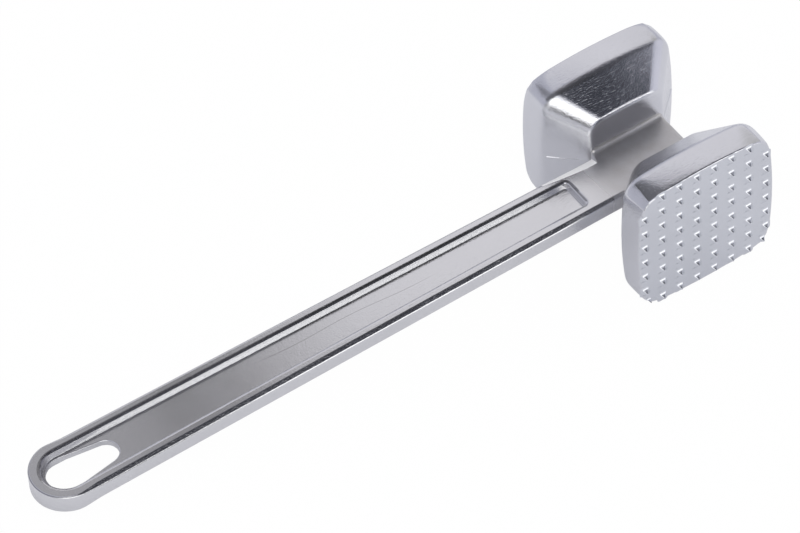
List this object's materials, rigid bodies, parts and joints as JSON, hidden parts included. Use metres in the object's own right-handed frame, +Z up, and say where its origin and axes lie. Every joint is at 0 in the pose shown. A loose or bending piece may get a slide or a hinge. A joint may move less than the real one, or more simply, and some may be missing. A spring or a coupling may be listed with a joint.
{
  "type": "meat tenderizer",
  "caption": "Cast aluminium hand tool with a channelled handle, a hanging hole and a square head that has fine teeth on one face and coarse teeth on the other.",
  "frame": {"origin": "middle of the whole tool's footprint on the table, at the height of the table, with the tool lying as pictured", "axes": "+X from the handle's tip to the head, +Y from the fine teeth to the coarse teeth, +Z up from the table; the heads and the handle's tip rest at Z = 0, so the handle slopes down by 5.9 degrees from the head to the tip"},
  "size_m": [0.2398, 0.0654, 0.0506],
  "materials": {
    "cast_metal": "satin",
    "body_metal": "polished, with fine brushed scratches",
    "plate_metal": "satin"
  },
  "bodies": {
    "root": {"handle": "cast_metal", "hub": "cast_metal", "fine_body": "body_metal", "fine_plate": "plate_metal", "coarse_body": "body_metal", "coarse_plate": "plate_metal"}
  },
  "joints": []
}
